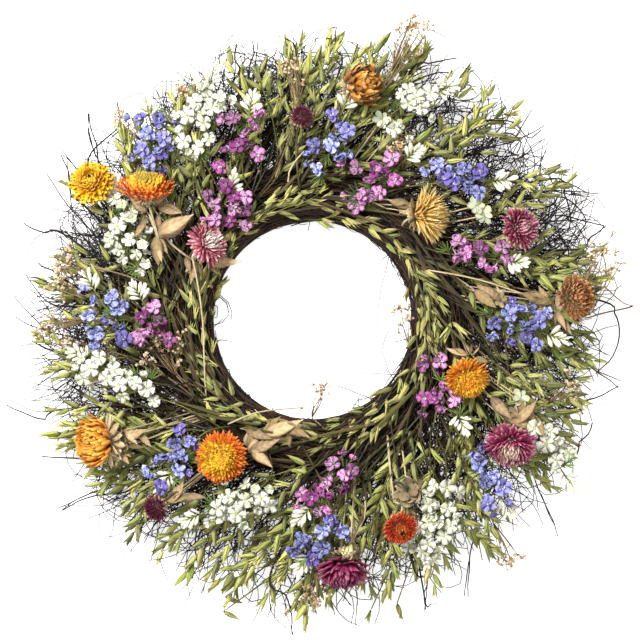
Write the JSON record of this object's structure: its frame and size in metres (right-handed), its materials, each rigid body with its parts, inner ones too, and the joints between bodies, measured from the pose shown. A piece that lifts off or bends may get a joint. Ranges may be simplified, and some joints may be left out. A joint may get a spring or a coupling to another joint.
{
  "type": "dried flower wreath",
  "caption": "Round wreath of dried strawflowers, larkspur and oats on a ring of dark stems and twigs, laid flat on its back",
  "frame": {"origin": "on the flat back's plane, under the middle of the wreath's bounding box", "axes": "+Z out of the wreath's front, +Y to its top and +X to its right as it hangs"},
  "size_m": [0.5964, 0.586, 0.111],
  "materials": {
    "dark_stems": "rough",
    "florist_wire": "dull",
    "dark_twigs": "rough",
    "oats": "papery",
    "tan_flowers": "papery",
    "larkspur_blue": "papery",
    "larkspur_pink": "papery",
    "larkspur_white": "papery",
    "bracts_gold": "papery",
    "bracts_orange": "papery",
    "bracts_amber": "papery",
    "bracts_rust": "papery",
    "bracts_pink": "papery",
    "bracts_magenta": "papery",
    "bracts_crimson": "papery",
    "bracts_red": "papery"
  },
  "bodies": {
    "root": {"binding_wire": "florist_wire", "larkspur_blue_east": "larkspur_blue", "larkspur_blue_north": "larkspur_blue", "larkspur_blue_northeast": "larkspur_blue", "larkspur_blue_northwest": "larkspur_blue", "larkspur_blue_south": "larkspur_blue", "larkspur_blue_southeast": "larkspur_blue", "larkspur_blue_southwest": "larkspur_blue", "larkspur_blue_west": "larkspur_blue", "larkspur_pink_east": "larkspur_pink", "larkspur_pink_north": "larkspur_pink", "larkspur_pink_northeast": "larkspur_pink", "larkspur_pink_northwest": "larkspur_pink", "larkspur_pink_south": "larkspur_pink", "larkspur_pink_southeast": "larkspur_pink", "larkspur_pink_west": "larkspur_pink", "larkspur_white_east": "larkspur_white", "larkspur_white_northeast": "larkspur_white", "larkspur_white_northwest": "larkspur_white", "larkspur_white_southeast": "larkspur_white", "larkspur_white_southwest": "larkspur_white", "larkspur_white_southwest_outer": "larkspur_white", "larkspur_white_west": "larkspur_white", "oats_1": "oats", "oats_2": "oats", "oats_3": "oats", "oats_4": "oats", "oats_5": "oats", "oats_6": "oats", "oats_7": "oats", "oats_8": "oats", "sprig_tan_east": "tan_flowers", "sprig_tan_north": "tan_flowers", "sprig_tan_northwest": "tan_flowers", "sprig_tan_southwest": "tan_flowers", "sprig_tan_west": "tan_flowers", "stem_ring": "dark_stems", "strawflower_amber_northeast": "bracts_amber", "strawflower_crimson_north": "bracts_crimson", "strawflower_crimson_south": "bracts_crimson", "strawflower_crimson_southwest": "bracts_crimson", "strawflower_gold_southwest": "bracts_gold", "strawflower_magenta_southeast": "bracts_magenta", "strawflower_mauve_east": "bracts_magenta", "strawflower_orange_east": "bracts_orange", "strawflower_orange_north": "bracts_orange", "strawflower_orange_northwest": "bracts_orange", "strawflower_orange_west": "bracts_orange", "strawflower_pink_west": "bracts_pink", "strawflower_red_south": "bracts_red", "strawflower_rust_east": "bracts_rust", "strawflower_yellow_northwest": "bracts_gold", "twigs_1": "dark_twigs", "twigs_2": "dark_twigs", "twigs_3": "dark_twigs", "twigs_4": "dark_twigs", "twigs_5": "dark_twigs", "twigs_6": "dark_twigs", "wire_ring": "florist_wire"}
  },
  "joints": []
}
